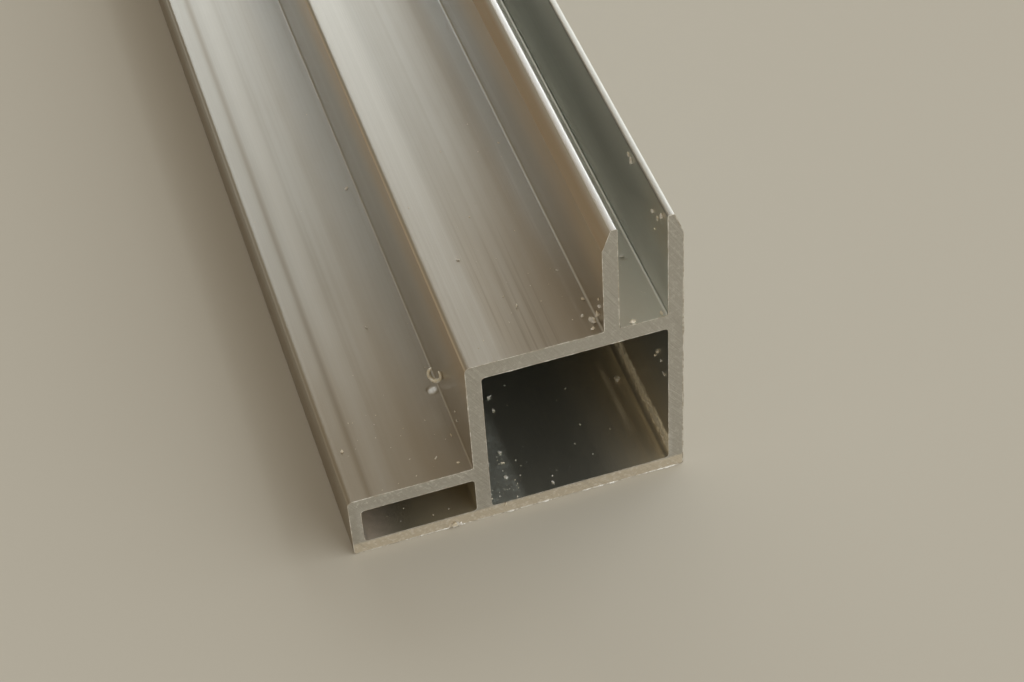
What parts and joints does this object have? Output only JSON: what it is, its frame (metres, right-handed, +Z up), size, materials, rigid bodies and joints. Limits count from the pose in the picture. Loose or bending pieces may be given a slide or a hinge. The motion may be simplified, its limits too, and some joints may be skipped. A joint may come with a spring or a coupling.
{
  "type": "aluminium extrusion profile",
  "caption": "Straight thin-walled aluminium bar stock: a square box section with a low hollow flange at its foot and upright fins that form a slot for a panel's edge.",
  "frame": {"origin": "middle of the underside: centred across the whole width and along the length, on the plane that the base lies on", "axes": "+Y along the stock, +Z up from the base to the fin tips, +X across the stock from the hollow flange to the outer fin"},
  "size_m": [0.027, 1, 0.027],
  "materials": {
    "mill_aluminium": "mill finish, satin, with fine die lines along the length and saw marks on the cut ends"
  },
  "bodies": {
    "root": {"extrusion_profile": "mill_aluminium"}
  },
  "joints": []
}
